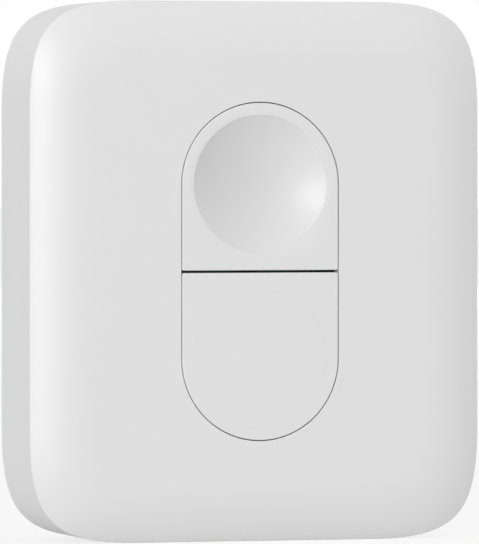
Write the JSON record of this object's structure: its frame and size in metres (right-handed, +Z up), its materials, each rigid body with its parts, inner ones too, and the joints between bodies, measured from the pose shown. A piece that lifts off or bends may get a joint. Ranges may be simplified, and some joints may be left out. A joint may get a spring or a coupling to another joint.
{
  "type": "smart ir remote",
  "caption": "Small upright smart remote with a soft-cornered white case, crowned face and a pill-shaped key field split into two keys, the upper one dished.",
  "frame": {"origin": "middle of the flat bottom edge, under the middle of the box around the part", "axes": "+Z up along the case's height, -Y out of the face with the keys, +X to the right seen from the face"},
  "size_m": [0.0372, 0.012, 0.043],
  "materials": {
    "white_shell": "fine satin texture",
    "white_key": "fine satin texture",
    "white_cover": "fine matt texture",
    "screw_steel": "zinc plated",
    "window_dark": "polished, passes infrared",
    "board_green": "solder mask",
    "black_plastic": "moulded",
    "spring_metal": "nickel plated",
    "cell_steel": "bright, lightly brushed",
    "gasket_plastic": "smooth",
    "emitter_resin": "clear tinted resin",
    "part_ceramic": "fired",
    "antenna_ceramic": "fired",
    "led_resin": "clear resin"
  },
  "bodies": {
    "case": {"front_shell": "white_shell", "rear_cover": "white_cover", "circuit_board": "board_green", "board_screws": "screw_steel", "battery_holder": "black_plastic", "negative_contact": "spring_metal", "positive_contact": "spring_metal", "cell_can": "cell_steel", "cell_gasket": "gasket_plastic", "cell_cap": "cell_steel", "ir_emitter": "emitter_resin", "ir_emitter_leads": "spring_metal", "ir_window": "window_dark", "ir_driver": "black_plastic", "radio_chip": "black_plastic", "radio_crystal": "cell_steel", "chip_antenna": "antenna_ceramic", "status_led": "led_resin", "chip_capacitors": "part_ceramic", "chip_resistors": "black_plastic", "upper_switch_base": "black_plastic", "upper_switch_cover": "spring_metal", "upper_switch_dome": "spring_metal", "upper_switch_terminals": "spring_metal", "lower_switch_base": "black_plastic", "lower_switch_cover": "spring_metal", "lower_switch_dome": "spring_metal", "lower_switch_terminals": "spring_metal"},
    "upper_button": {"upper_button": "white_key"},
    "lower_button": {"lower_button": "white_key"},
    "upper_switch_stem": {"upper_switch_stem": "black_plastic"},
    "lower_switch_stem": {"lower_switch_stem": "black_plastic"},
    "battery_door": {"battery_door": "white_cover"}
  },
  "joints": [
    {"name": "upper_button_press", "type": "slide", "parent": "case", "child": "upper_button", "axis": [0, 1, 0], "range_m": [0, 0.00025], "stiffness_N_per_m": 4000, "springref_m": -0.0001},
    {"name": "upper_switch_press", "type": "slide", "parent": "case", "child": "upper_switch_stem", "axis": [0, 1, 0], "range_m": [0, 0.00025], "deforming": ["upper_switch_dome"]},
    {"name": "lower_button_press", "type": "slide", "parent": "case", "child": "lower_button", "axis": [0, 1, 0], "range_m": [0, 0.00025], "stiffness_N_per_m": 4000, "springref_m": -0.0001},
    {"name": "lower_switch_press", "type": "slide", "parent": "case", "child": "lower_switch_stem", "axis": [0, 1, 0], "range_m": [0, 0.00025], "deforming": ["lower_switch_dome"]},
    {"name": "battery_door_turn", "type": "hinge", "parent": "case", "child": "battery_door", "pos_m": [0, 0.006, 0.0215], "axis": [0, 1, 0], "range_deg": [0, 35]}
  ],
  "couplings": [
    {"joint": "upper_switch_press", "follows": "upper_button_press", "ratio": 1},
    {"joint": "lower_switch_press", "follows": "lower_button_press", "ratio": 1}
  ]
}
